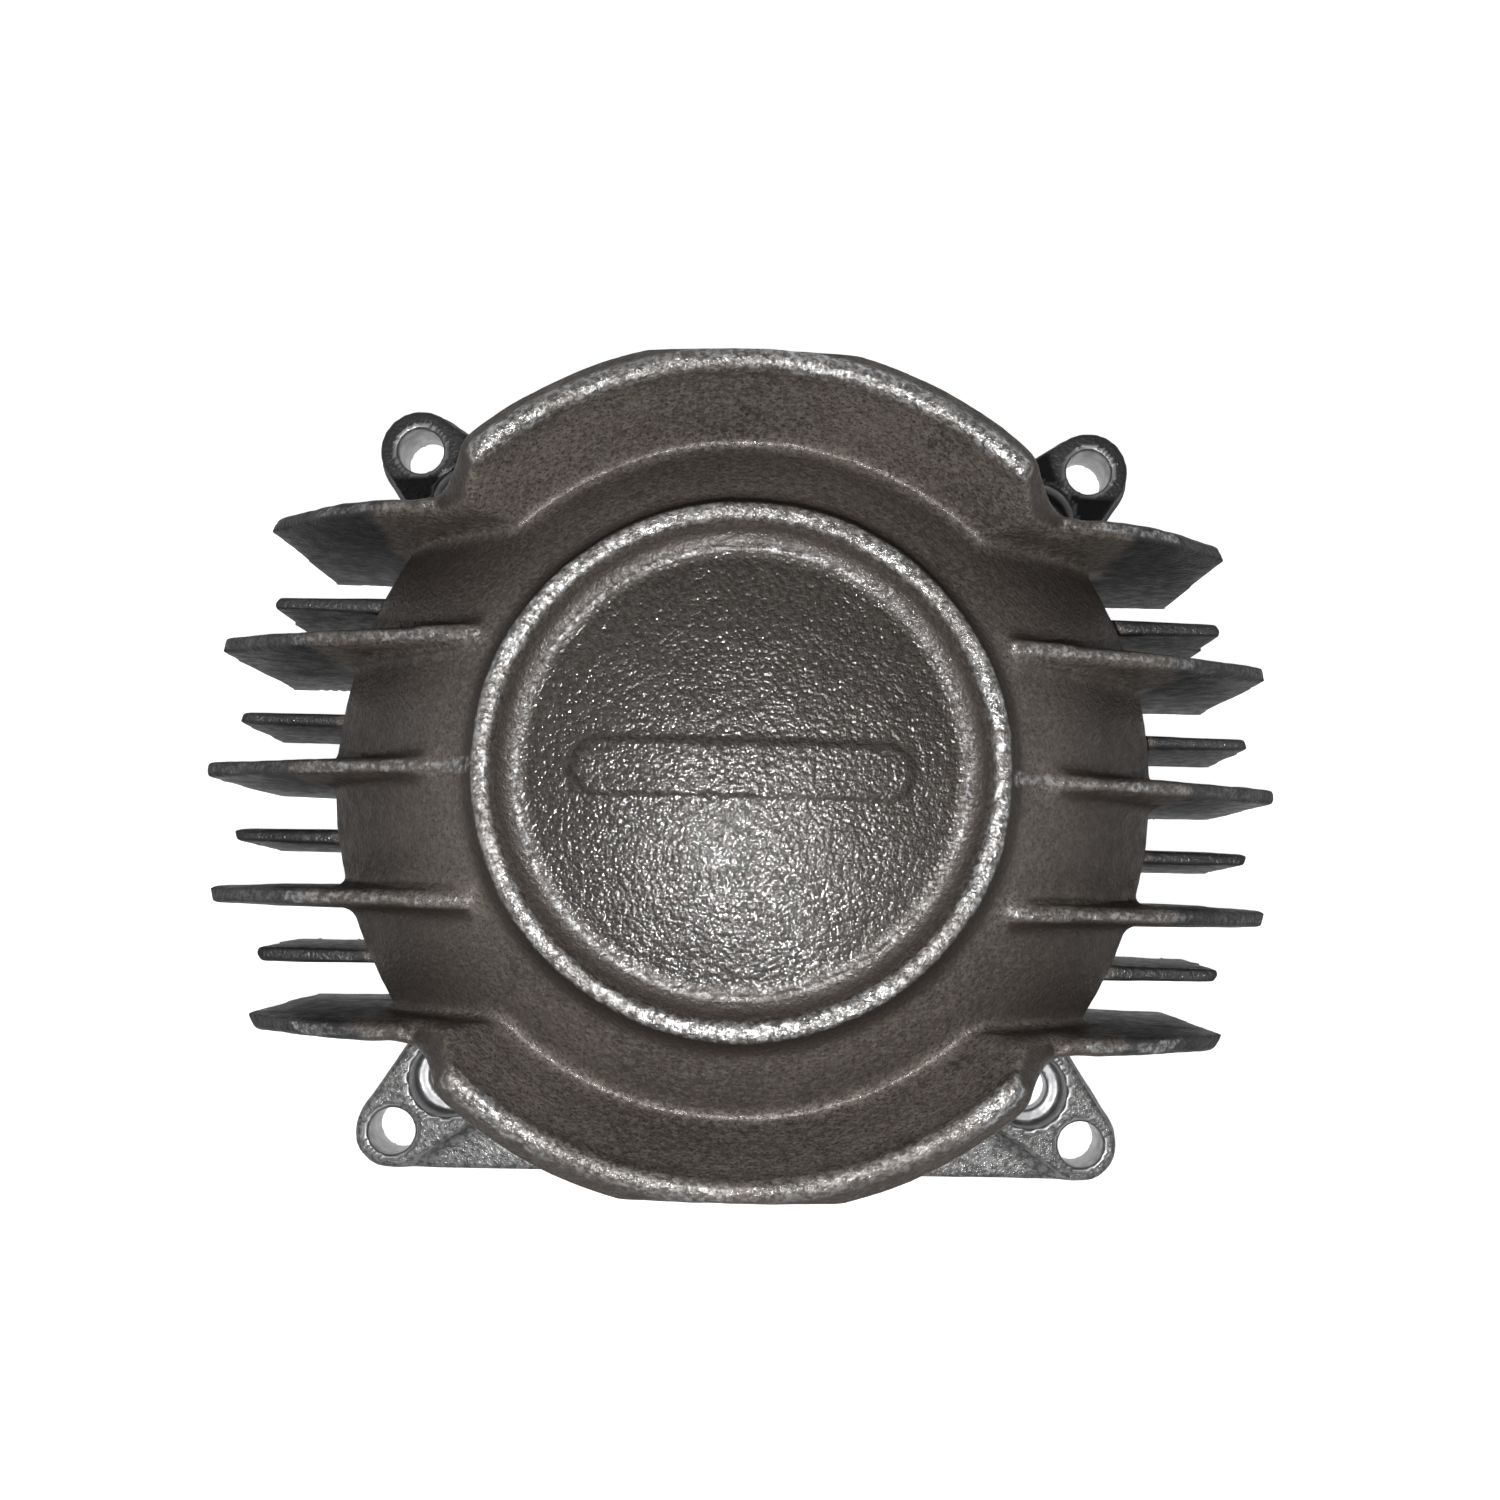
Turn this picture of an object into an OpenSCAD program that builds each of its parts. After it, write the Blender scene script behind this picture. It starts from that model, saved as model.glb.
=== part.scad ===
// Air-cooled compressor cylinder head with its ring plate valve group, in millimetres.
// Z runs up the cylinder axis with the closed cap on top. The origin is the centre of the mating face.
// X runs along the cooling fins. Y runs from the discharge port to the suction port.

/* [Turret] */
// Height of the turret ring crest above the mating face
ring_height = 74; // [60:0.5:90]
// Radius of the inner edge of the ring crest
ring_inner_radius = 39.9; // [34:0.1:44]
// Radius of the outer edge of the ring crest
ring_outer_radius = 43.4; // [40:0.1:50]
// Radius where the outer ring wall meets the cap
ring_foot_radius = 45; // [42:0.1:52]
// Radius of the turret floor
floor_radius = 36.6; // [30:0.1:40]
// Depth of the edge of the turret floor below the ring crest
floor_depth = 4; // [1:0.1:8]
// Radius of the shallow dome that the turret floor forms
dome_radius = 187; // [150:1:400]
// Height of the steep inner face of the ring crest
ring_inner_step = 2.4; // [1.5:0.1:3.5]
// Rounding of the ring crest edges
ring_round = 1.1; // [0.4:0.1:1.6]
// Length of the blank raised pad on the turret floor
pad_length = 55; // [20:1:65]
// Width of the blank raised pad
pad_width = 9; // [4:0.5:20]
// Height of the blank raised pad
pad_height = 0.6; // [0.2:0.1:1.5]

/* [Cap and barrel] */
// Radius of the arc that forms the sloping cap
cap_arc_radius = 100.2; // [80:0.1:140]
// Radial position of the centre of that arc
cap_arc_offset = -11.5; // [-30:0.1:10]
// Height of the centre of that arc
cap_arc_height = -15.75; // [-40:0.05:0]
// Outer radius of the barrel
barrel_radius = 74.5; // [70:0.1:80]

/* [Rim walls] */
// Radius of the crease at the foot of the rim wall
crease_radius = 57.4; // [50:0.1:62]
// Radius of the rounded crest of the rim wall
rim_radius = 66; // [62:0.1:68]
// Height of the rim crest above the mating face
rim_height = 76; // [65:0.5:90]
// Rounding radius of the rim crest
rim_round = 1.9; // [0.8:0.1:2.4]
// Outer radius of the rim wall
rim_outer_radius = 70.2; // [67:0.1:74]
// Drop of the outer chamfer below the rim crest
rim_chamfer_drop = 3.6; // [1:0.1:6]
// Depth of the rim wall below the crease
rim_root_depth = 30; // [20:1:40]
// Distance of the flat port faces from the axis
port_face = 68; // [66:0.1:70]
// Distance from the axis at which the rim crest starts to ramp down
ramp_start = 44; // [40:0.5:50]
// Distance from the axis at which the ramp ends
ramp_end = 57; // [50:0.5:62]
// Height of the rim wall at the end of the ramp
ramp_end_height = 56; // [50:0.5:70]
// Angle by which the ramps turn inward
ramp_turn = 25; // [0:1:45]

/* [Fins] */
// Distance between main fins
fin_pitch = 22; // [15:0.5:30]
// Outer radius that all fins end on
fin_radius = 96; // [85:0.1:110]
// Half thickness of a main fin at its root on the mating plane
fin_root_half = 2.9; // [1:0.05:3.5]
// Loss of half thickness from root to tip of a main fin
fin_taper = 0.65; // [0:0.05:1.5]
// Loss of half thickness per millimetre of height of a main fin
fin_draft = 0.02; // [0:0.005:0.05]
// Radius of the crown arc of the main fins
fin_crown_radius = 167.4; // [120:0.1:220]
// Depth of the crown arc centre below the mating face
fin_crown_depth = 96.1; // [50:0.1:150]
// Height of the main fin ends on the outer radius
fin_end_height = 43.3; // [35:0.1:50]
// Distance from the axis at which the main fins start
fin_start = 44; // [40:0.5:60]
// Distance from the axis at which the outermost fins start
outer_fin_start = 54; // [45:0.5:60]
// Distance from the axis at which the short fins start
short_fin_start = 64; // [60:0.5:66]
// Height of the short fins
short_fin_height = 26.5; // [20:0.5:45]
// Half thickness of a short fin at its root on the mating plane
short_root_half = 2.6; // [1:0.05:3.5]
// Loss of half thickness from root to tip of a short fin
short_taper = 0.3; // [0:0.05:1.5]
// Loss of half thickness per millimetre of height of a short fin
short_draft = 0.045; // [0:0.005:0.06]
// First radius of the turned grooves on the fin undersides
groove_start = 77; // [75:0.25:85]
// Radial pitch of the turned grooves
groove_pitch = 1.75; // [1:0.05:3]
// Number of turned grooves
groove_count = 8; // [0:1:12]
// Depth of the turned grooves
groove_depth = 0.8; // [0.2:0.05:1.5]

/* [Flange] */
// Distance of each outer ear hole from both centre lines
ear_half = 67.25; // [60:0.25:75]
// Radius of the ear holes
ear_hole_radius = 4.5; // [3:0.1:6]
// Thickness of the corner plates
ear_thickness = 12; // [8:0.5:16]
// Height of the thinner lower step of the flange
step_height = 6.5; // [3:0.5:10]
// Ear radius on the suction side
ear_radius_suction = 9.2; // [7:0.1:12]
// Ear radius on the discharge side
ear_radius_discharge = 8.2; // [6.5:0.1:12]
// Set-back of the web edge from the ear outline
web_inset = 0.3; // [0.1:0.05:1]
// Share of the ear radius at which the straight flanks start
ear_flank = 0.985; // [0.9:0.005:0.995]
// Set-back of the upper step of each corner plate
ear_setback = 1.1; // [0.5:0.1:2]
// Distance of the corner plate root circle from both centre lines
ear_root_half = 50; // [45:0.5:55]
// Extra radius of the corner plate at its root
ear_root_extra = 5; // [2:0.1:8]

/* [Head bolts] */
// Distance of each head bolt hole from both centre lines
head_bolt_half = 57; // [50:0.25:62]
// Radius of the head bolt holes
head_bolt_radius = 4.5; // [3:0.1:6]
// Radius of the counterbore for the screw head
counterbore_radius = 7.3; // [6:0.1:9]
// Depth of the counterbore
counterbore_depth = 6.7; // [3:0.1:9]
// Radius of the scallop that clears the head bolts
scallop_radius = 11.7; // [9:0.1:14]

/* [Chambers and ports] */
// Inner radius of the discharge chamber
discharge_chamber_radius = 33; // [28:0.5:36]
// Outer radius of the divider wall
divider_radius = 37; // [34:0.5:40]
// Height of the lower edge of the divider wall
divider_base = 27; // [20:0.5:35]
// Thickness of the turret roof
roof_thickness = 5; // [3:0.5:8]
// Outer radius of the suction chamber
suction_chamber_radius = 64; // [58:0.5:66]
// Height of the suction chamber floor
suction_chamber_base = 24; // [20:0.5:30]
// Height of the suction port axis
suction_port_height = 40; // [30:0.5:45]
// Radius of the tapped suction port
suction_port_radius = 15.15; // [10:0.05:18]
// Radius of the boss inside the suction chamber
suction_boss_radius = 19.5; // [16:0.5:24]
// Distance of the boss end from the axis
suction_boss_start = 54; // [50:0.5:60]
// Length of the thread in the suction port
suction_thread_length = 14.5; // [10:0.5:20]
// Height of the discharge port axis
discharge_port_height = 43; // [35:0.5:48]
// Radius of the tapped discharge port
discharge_port_radius = 12.1; // [8:0.05:14]
// Radius of the discharge duct
discharge_duct_radius = 11; // [8:0.5:13]
// Outer radius of the duct wall inside the suction chamber
duct_wall_radius = 15.5; // [12:0.5:18]
// Length of the thread in the discharge port
discharge_thread_length = 17; // [10:0.5:24]

/* [Seat recess] */
// Radius of the recess for the valve seat
recess_radius = 62.15; // [58:0.05:64]
// Depth of the recess
recess_depth = 19; // [12:0.5:24]
// Radius of the opening above the recess shoulder
shoulder_radius = 53.5; // [48:0.5:58]
// Inner radius of the face seal groove
seal_groove_inner = 66; // [64:0.1:70]
// Width of the face seal groove
seal_groove_width = 3.5; // [2:0.1:5]
// Depth of the face seal groove
seal_groove_depth = 2.5; // [1.5:0.1:4]
// Section radius of the face seal
seal_section = 1.2; // [0.8:0.05:1.6]

/* [Valve seat] */
// Outer radius of the seat
seat_radius = 62; // [58:0.05:64]
// Inner radius of the seat rim
seat_rim_inner = 50; // [46:0.5:54]
// Gap between seat rim and mating plane
seat_rim_base = 0.3; // [0:0.1:1]
// Height of the top of the seat rim
seat_rim_top = 18; // [10:0.5:22]
// Height of the underside of the seat plate
seat_bottom = 12; // [8:0.5:16]
// Height of the top of the seat plate
seat_top = 26; // [20:0.5:32]
// Radius of the raised part of the seat
seat_boss_radius = 53; // [48:0.5:56]
// Mean radius of the suction passages and plate
suction_ring_radius = 41.5; // [39:0.1:43]
// Mean radius of the discharge passages and plate
discharge_ring_radius = 24; // [22:0.1:26]
// Radial width of the seat passages
passage_width = 6; // [4:0.1:8]
// Width of the ribs between the passages
passage_rib = 5; // [3:0.5:8]
// Number of ribs between the passages
passage_ribs = 6; // [4:1:8]
// Inner radius of the guide lugs for the suction plate
guide_lug_radius = 46.15; // [45:0.05:48]
// Width of the guide lugs
guide_lug_width = 9; // [5:0.5:14]
// Height of the lower end of the seat guide lugs
guide_lug_base = 7; // [5:0.5:10]

/* [Valve plates] */
// Radial width of the ring plates
plate_width = 8.6; // [7:0.1:10]
// Thickness of the ring plates
plate_thickness = 1.6; // [1:0.1:3]
// Lift of the discharge plate
discharge_lift = 2; // [1:0.1:3]
// Lift of the suction plate
suction_lift = 1.8; // [1:0.1:3]
// Gap left at each end of the plate travel
plate_gap = 0.05; // [0.02:0.01:0.1]

/* [Guards] */
// Outer radius of the discharge guard
discharge_guard_radius = 31; // [28:0.5:32]
// Thickness of the discharge guard
discharge_guard_thickness = 8.3; // [6:0.1:12]
// Inner radius of the guide lugs of the discharge guard
discharge_lug_radius = 28.6; // [28.4:0.05:30]
// Inner radius of the gas slots in the discharge guard
guard_slot_inner = 14; // [12:0.5:16]
// Outer radius of the gas slots in the discharge guard
guard_slot_outer = 18.5; // [16:0.5:20]
// Radius of the guard hubs
hub_radius = 13; // [11:0.5:15]
// Outer radius of the suction guard
suction_guard_radius = 45.6; // [44:0.1:46]
// Inner radius of the outer ring of the suction guard
suction_guard_inner = 35; // [32:0.5:37]
// Height of the underside of the suction guard
suction_guard_base = 1; // [0.5:0.5:4]
// Width of the spokes of the guards
spoke_width = 8; // [5:0.5:12]
// Outer radius of the lift spacers
spacer_radius = 12; // [10:0.5:13]

/* [Springs] */
// Mean radius of the spring coils
coil_radius = 2.1; // [1.5:0.1:2.6]
// Radius of the spring wire
wire_radius = 0.4; // [0.2:0.05:0.6]
// Number of turns of each spring
spring_turns = 4; // [3:0.5:7]
// Radius of the spring pockets
pocket_radius = 2.9; // [2.4:0.1:3.4]
// Depth of the spring pockets in both guards
pocket_depth = 5.5; // [3:0.1:6.5]
// Number of discharge springs
discharge_spring_count = 6; // [4:1:8]
// Number of suction springs
suction_spring_count = 8; // [4:1:12]

/* [Fasteners] */
// Radius of the centre bolt
bolt_radius = 6; // [5:0.5:8]
// Radius of the centre bolt head
bolt_head_radius = 8.8; // [8:0.1:11]
// Height of the centre bolt head
bolt_head_height = 4; // [3:0.1:6]
// Clearance between head and mating plane
bolt_head_base = 1.4; // [0.5:0.1:3]
// Radius of the hexagon socket in the bolt head
socket_radius = 4; // [2:0.1:5]
// Depth of the hexagon socket
socket_depth = 2.6; // [1:0.1:3.5]
// Radial clearance of holes around the centre bolt
bolt_clearance = 0.1; // [0.05:0.05:0.3]
// Thickness of the washer under the nut
washer_thickness = 2; // [1:0.1:3]
// Outer radius of the washer under the nut
washer_radius = 12; // [10:0.5:14]
// Distance across the flats of the nut
nut_flats = 18; // [16:0.5:22]
// Height of the hexagon part of the nut
nut_height = 6.5; // [4:0.5:10]
// Height of the slotted crown of the nut
crown_height = 4; // [2:0.5:6]
// Width of the crown slots
crown_slot = 3.4; // [2:0.1:4]
// Radius of the split pin
pin_radius = 1.3; // [0.8:0.1:1.6]
// Radius of the guard dowels
dowel_radius = 1.5; // [1:0.1:2]
// Distance of the guard dowels from the axis
dowel_circle = 9.2; // [8.5:0.1:10]
// Radius of the index pin
index_radius = 2; // [1.5:0.1:3]
// Distance of the index pin and seat screws from the axis
rim_circle = 57.6; // [56:0.1:59]
// Radius of the seat screws
screw_radius = 2; // [1.5:0.1:2.5]
// Radius of the seat screw heads
screw_head_radius = 3.4; // [3:0.1:4]
// Height of the seat screw heads
screw_head_height = 3.6; // [2:0.1:5]
// Number of seat screws
screw_count = 3; // [2:1:6]
// Thickness of the washers under the seat screws
screw_washer = 0.9; // [0.5:0.1:1.5]
// Thickness of both gaskets
gasket_thickness = 1; // [0.5:0.1:2]
// Radial clearance around pins and screws
fit_gap = 0.05; // [0.02:0.01:0.1]

/* [Hidden] */
$fn = 96;
eps = 0.01;
far = 200;
floor_height = ring_height - floor_depth;
dome_rise = dome_radius - sqrt(pow(dome_radius, 2) - pow(floor_radius, 2));
cap_foot = cap_arc_height + sqrt(pow(cap_arc_radius, 2) - pow(ring_foot_radius - cap_arc_offset, 2));
crease_height = cap_arc_height + sqrt(pow(cap_arc_radius, 2) - pow(crease_radius - cap_arc_offset, 2));
barrel_top = cap_arc_height + sqrt(pow(cap_arc_radius, 2) - pow(barrel_radius - cap_arc_offset, 2));
rim_inner_face = 2 * fin_pitch - 2.1;
ramp_angle = atan2(rim_height - ramp_end_height, ramp_end - ramp_start);
plate_inner_half = plate_width / 2;
discharge_plate_base = seat_top + plate_gap;
discharge_stop = discharge_plate_base + plate_thickness + discharge_lift + plate_gap;
discharge_guard_top = discharge_stop + discharge_guard_thickness;
discharge_pocket_top = discharge_stop + pocket_depth;
suction_plate_top = seat_bottom - plate_gap;
suction_plate_base = suction_plate_top - plate_thickness;
suction_stop = suction_plate_base - suction_lift - plate_gap;
suction_pocket_base = suction_stop - pocket_depth;
bolt_seat = bolt_head_base + bolt_head_height;
washer_top = discharge_guard_top + washer_thickness;
nut_top = washer_top + nut_height + crown_height;
bolt_top = nut_top + 1.5;
split_pin_height = nut_top - crown_height / 2;
screw_seat = 7;
screw_length = recess_depth + 4.4 - screw_seat;
index_length = 10;
index_base = recess_depth + 4 - index_length;
cos_root = ear_root_extra / ((ear_half - ear_root_half) * sqrt(2));
sin_root = sqrt(1 - pow(cos_root, 2));
side_signs = [-1, 1];
main_rows = [-2, -1, 0, 1, 2];
short_rows = [-1.5, -0.5, 0.5, 1.5];

module ring(inner, outer, base, height) {
    translate([0, 0, base])
        difference() {
            cylinder(r = outer, h = height);
            translate([0, 0, -1])
                cylinder(r = inner, h = height + 2);
        }
}

module pin(x, y, base, radius, height) {
    translate([x, y, base])
        cylinder(r = radius, h = height);
}

// Cap, barrel and turret ring as one turned profile.
module body_profile() {
    intersection() {
        translate([cap_arc_offset, cap_arc_height])
            circle(r = cap_arc_radius, $fn = 360);
        square([barrel_radius, cap_foot]);
    }
    square([ring_foot_radius - 1, floor_height]);
    intersection() {
        translate([0, floor_height + dome_rise - dome_radius])
            circle(r = dome_radius, $fn = 720);
        square([floor_radius + 1, floor_height + dome_rise]);
    }
    polygon([
        [floor_radius, floor_height - 1],
        [floor_radius, floor_height],
        [ring_inner_radius + 0.03 * ring_round, ring_height - ring_inner_step],
        [ring_inner_radius + 0.3 * ring_round, ring_height - ring_round],
        [ring_inner_radius + ring_round, ring_height - 0.3 * ring_round],
        [ring_outer_radius - ring_round, ring_height - 0.3 * ring_round],
        [ring_outer_radius - 0.3 * ring_round, ring_height - ring_round],
        [ring_foot_radius, cap_foot],
        [ring_foot_radius, cap_foot - 3],
        [floor_radius, cap_foot - 3]
    ]);
    for (edge = [ring_inner_radius + ring_round, ring_outer_radius - ring_round])
        translate([edge, ring_height - ring_round])
            circle(r = ring_round);
}

module rim_profile() {
    polygon([
        [crease_radius - 2, crease_height - rim_root_depth],
        [crease_radius, crease_height],
        [rim_radius - 0.7 * rim_round, rim_height - rim_round],
        [rim_radius, rim_height - 0.4 * rim_round],
        [rim_radius + 0.5 * rim_round, rim_height - 0.6 * rim_round],
        [rim_outer_radius, rim_height - rim_chamfer_drop],
        [rim_outer_radius, crease_height - rim_root_depth]
    ]);
    translate([rim_radius, rim_height - rim_round])
        circle(r = rim_round);
}

// Both ends of a rim wall are ramped down to the outermost fins.
module ramp_cut() {
    for (side = side_signs)
        scale([side, 1, 1])
            translate([ramp_start, sqrt(pow(rim_radius, 2) - pow(ramp_start, 2)), rim_height])
                rotate([0, 0, -ramp_turn])
                    rotate([0, ramp_angle, 0])
                        translate([0, -far / 2, 0])
                            cube([far, far, far]);
}

module rim_wall() {
    difference() {
        rotate_extrude()
            rim_profile();
        translate([-far / 2, rim_inner_face - far, -1])
            cube([far, far, far]);
        ramp_cut();
    }
}

// A wedge that gets thinner outwards and upwards.
module fin_blade(row, start, root_half, taper, draft, height) {
    corners = [for (x = [0, 1]) for (z = [0, 1]) for (side = side_signs)
        [start + x * (fin_radius + 1 - start), side * (root_half - x * taper - z * draft * height), z * height]];
    faces = [[0, 1, 3, 2], [4, 6, 7, 5], [0, 4, 5, 1], [2, 3, 7, 6], [0, 2, 6, 4], [1, 5, 7, 3]];
    translate([0, row * fin_pitch, 0])
        polyhedron(points = corners, faces = faces);
}

module main_crown() {
    rotate([90, 0, 0])
        translate([0, -fin_crown_depth, -far / 2])
            cylinder(r = fin_crown_radius, h = far, $fn = 360);
}

// The turned outer limit of all fins, with the ends of the outer rows cut back.
module fin_limit() {
    cut_back = rim_height - fin_end_height;
    rotate([0, 0, 90])
        rotate_extrude()
            polygon([
                [0, -1],
                [fin_radius, -1],
                [fin_radius, fin_end_height],
                [fin_radius - cut_back, rim_height],
                [0, rim_height]
            ]);
}

module half_fins() {
    intersection() {
        union()
            for (row = main_rows)
                fin_blade(row, abs(row) == 2 ? outer_fin_start : fin_start, fin_root_half, fin_taper,
                    fin_draft, rim_height - 6);
        main_crown();
    }
    for (row = short_rows)
        fin_blade(row, short_fin_start, short_root_half, short_taper, short_draft, short_fin_height);
}

module turned_grooves() {
    rotate([0, 0, 90])
        rotate_extrude()
            for (step = [0 : groove_count - 1])
                translate([groove_start + step * groove_pitch, 0])
                    polygon([[0, -0.1], [groove_pitch * 0.9, -0.1], [groove_pitch * 0.45, groove_depth]]);
}

module fins() {
    difference() {
        intersection() {
            union()
                for (side = side_signs)
                    scale([side, 1, 1])
                        half_fins();
            fin_limit();
        }
        turned_grooves();
    }
}

// Tangent outline of a corner plate from its root circle out to the ear.
module corner_outline(ear_radius) {
    root_radius = ear_radius + ear_root_extra;
    outward = [cos_root, cos_root] / sqrt(2);
    across = [-sin_root, sin_root] / sqrt(2);
    ear = [ear_half, ear_half];
    root = [ear_root_half, ear_root_half];
    translate(ear)
        circle(r = ear_radius);
    polygon([
        ear + ear_flank * ear_radius * (outward + across),
        root + root_radius * (outward + across),
        root + root_radius * (outward - across),
        ear + ear_flank * ear_radius * (outward - across)
    ]);
    polygon([
        root + root_radius * (outward + across),
        [0.7 * ear_root_half, 0.7 * ear_root_half],
        root + root_radius * (outward - across)
    ]);
}

module corner_plate(ear_radius) {
    linear_extrude(height = step_height)
        corner_outline(ear_radius);
    linear_extrude(height = ear_thickness)
        corner_outline(ear_radius - ear_setback);
}

module flange() {
    for (side = side_signs)
        scale([side, 1, 1]) {
            corner_plate(ear_radius_suction);
            scale([1, -1, 1])
                corner_plate(ear_radius_discharge);
        }
    translate([-ear_half, web_inset - ear_half - ear_radius_discharge, 0])
        cube([2 * ear_half, ear_radius_discharge + 8, step_height - web_inset]);
}

// The pad follows the dome at its own height above it.
module pad() {
    pad_end = (pad_length - pad_width) / 2;
    intersection() {
        translate([0, 0, floor_height - 1])
            linear_extrude(height = ring_height - floor_height + 1) {
                square([2 * pad_end, pad_width], center = true);
                for (side = side_signs)
                    translate([side * pad_end, 0])
                        circle(d = pad_width);
            }
        rotate([0, 0, 45])
            translate([0, 0, floor_height + dome_rise - dome_radius])
                sphere(r = dome_radius + pad_height, $fn = 720);
    }
}

module along_y(x, y, z, radius, length) {
    translate([x, y, z])
        rotate([-90, 0, 0])
            cylinder(r = radius, h = length);
}

module discharge_chamber() {
    rotate_extrude()
        polygon([
            [0, divider_base - 1],
            [discharge_chamber_radius, divider_base - 1],
            [discharge_chamber_radius, floor_height - roof_thickness - 6],
            [discharge_chamber_radius - 6, floor_height - roof_thickness],
            [0, floor_height - roof_thickness]
        ]);
}

module suction_chamber() {
    difference() {
        rotate_extrude()
            polygon([
                [divider_radius, suction_chamber_base],
                [divider_radius, 61],
                [43, 58.5],
                [53, 51],
                [60, 43.5],
                [suction_chamber_radius, 37],
                [suction_chamber_radius, suction_chamber_base]
            ]);
        along_y(0, -barrel_radius, discharge_port_height, duct_wall_radius, barrel_radius);
        along_y(0, suction_boss_start, suction_port_height, suction_boss_radius, 20);
    }
}

module port_bores() {
    along_y(0, port_face - suction_thread_length, suction_port_height, suction_port_radius, far);
    along_y(0, -port_face, discharge_port_height, discharge_duct_radius, port_face - divider_radius / 2);
    along_y(0, -far, discharge_port_height, discharge_port_radius, far - port_face + discharge_thread_length);
}

module valve_recess() {
    translate([0, 0, -1])
        cylinder(r = recess_radius, h = recess_depth + 1);
    difference() {
        cylinder(r = shoulder_radius, h = suction_chamber_base + eps);
        translate([0, 0, divider_base])
            cylinder(r = divider_radius, h = 1);
    }
    ring(divider_radius, shoulder_radius, suction_chamber_base - 1, 2);
    cylinder(r = divider_radius, h = divider_base);
    for (k = [0 : screw_count - 1])
        rotate([0, 0, 60 + k * 360 / screw_count])
            pin(rim_circle, 0, recess_depth - 1, screw_radius + fit_gap, 5.6);
    pin(rim_circle, 0, recess_depth - 1, index_radius + fit_gap, 5.4);
    ring(seal_groove_inner, seal_groove_inner + seal_groove_width, -1, seal_groove_depth + 1);
}

module corner_cuts() {
    for (sx = side_signs)
        for (sy = side_signs) {
            pin(sx * ear_half, sy * ear_half, -1, ear_hole_radius, ear_thickness + 2);
            pin(sx * head_bolt_half, sy * head_bolt_half, -1, head_bolt_radius, ear_thickness + 2);
            pin(sx * head_bolt_half, sy * head_bolt_half, ear_thickness - counterbore_depth,
                counterbore_radius, counterbore_depth + 1);
            pin(sx * head_bolt_half, sy * head_bolt_half, ear_thickness, scallop_radius, far);
        }
}

module port_faces() {
    for (side = side_signs)
        scale([1, side, 1])
            translate([-far / 2, port_face, ear_thickness])
                cube([far, far, far]);
}

module head_casting() {
    color("silver")
        difference() {
            union() {
                rotate([0, 0, 31])
                    rotate_extrude()
                        body_profile();
                for (side = side_signs)
                    scale([1, side, 1])
                        rim_wall();
                fins();
                flange();
                pad();
            }
            corner_cuts();
            port_faces();
            discharge_chamber();
            suction_chamber();
            port_bores();
            valve_recess();
        }
}

module passages(mean_radius, turn) {
    difference() {
        ring(mean_radius - passage_width / 2, mean_radius + passage_width / 2, seat_bottom - 1,
            seat_top - seat_bottom + 2);
        for (k = [0 : passage_ribs - 1])
            rotate([0, 0, turn + k * 360 / passage_ribs])
                translate([0, -passage_rib / 2, 0])
                    cube([seat_radius, passage_rib, seat_top + 1]);
    }
}

module seat_lugs() {
    intersection() {
        ring(guide_lug_radius, seat_rim_inner + 1, guide_lug_base, seat_bottom - guide_lug_base + 1);
        union()
            for (k = [0 : 3])
                rotate([0, 0, 45 + k * 90])
                    translate([0, -guide_lug_width / 2, 0])
                        cube([seat_radius, guide_lug_width, seat_top]);
    }
}

module valve_seat() {
    color("dimgray")
        difference() {
            union() {
                ring(seat_rim_inner, seat_radius, seat_rim_base, seat_rim_top - seat_rim_base);
                pin(0, 0, seat_bottom, seat_radius - 1, seat_rim_top - seat_bottom);
                pin(0, 0, seat_bottom, seat_boss_radius, seat_top - seat_bottom);
                seat_lugs();
            }
            passages(suction_ring_radius, 0);
            passages(discharge_ring_radius, 30);
            pin(0, 0, 0, bolt_radius + bolt_clearance, far);
            for (side = side_signs) {
                pin(side * dowel_circle, 0, seat_top - 4.5, dowel_radius + fit_gap, 10);
                pin(0, side * dowel_circle, 0, dowel_radius + fit_gap, seat_bottom + 4.5);
            }
            pin(rim_circle, 0, index_base - 0.5, index_radius + fit_gap, index_length);
            for (k = [0 : screw_count - 1])
                rotate([0, 0, 60 + k * 360 / screw_count]) {
                    pin(rim_circle, 0, 0, screw_radius + 2 * fit_gap, seat_rim_top + 1);
                    pin(rim_circle, 0, 0, screw_head_radius + 0.3, screw_seat);
                }
        }
}

module discharge_plate() {
    color("steelblue")
        ring(discharge_ring_radius - plate_inner_half, discharge_ring_radius + plate_inner_half,
            discharge_plate_base, plate_thickness);
}

module suction_plate() {
    color("steelblue")
        ring(suction_ring_radius - plate_inner_half, suction_ring_radius + plate_inner_half,
            suction_plate_base, plate_thickness);
}

module discharge_spacer() {
    color("gray")
        difference() {
            ring(bolt_radius + bolt_clearance, spacer_radius, seat_top, discharge_stop - seat_top);
            for (side = side_signs)
                pin(side * dowel_circle, 0, 0, dowel_radius + fit_gap, far);
        }
}

module suction_spacer() {
    color("gray")
        difference() {
            ring(bolt_radius + bolt_clearance, spacer_radius, suction_stop, seat_bottom - suction_stop);
            for (side = side_signs)
                pin(0, side * dowel_circle, 0, dowel_radius + fit_gap, far);
        }
}

module discharge_lugs() {
    intersection() {
        ring(discharge_lug_radius, discharge_guard_radius, seat_top + 0.2, discharge_stop - seat_top);
        union()
            for (k = [0 : 3])
                rotate([0, 0, 45 + k * 90])
                    translate([0, -spoke_width / 2, 0])
                        cube([far, spoke_width, far]);
    }
}

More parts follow.
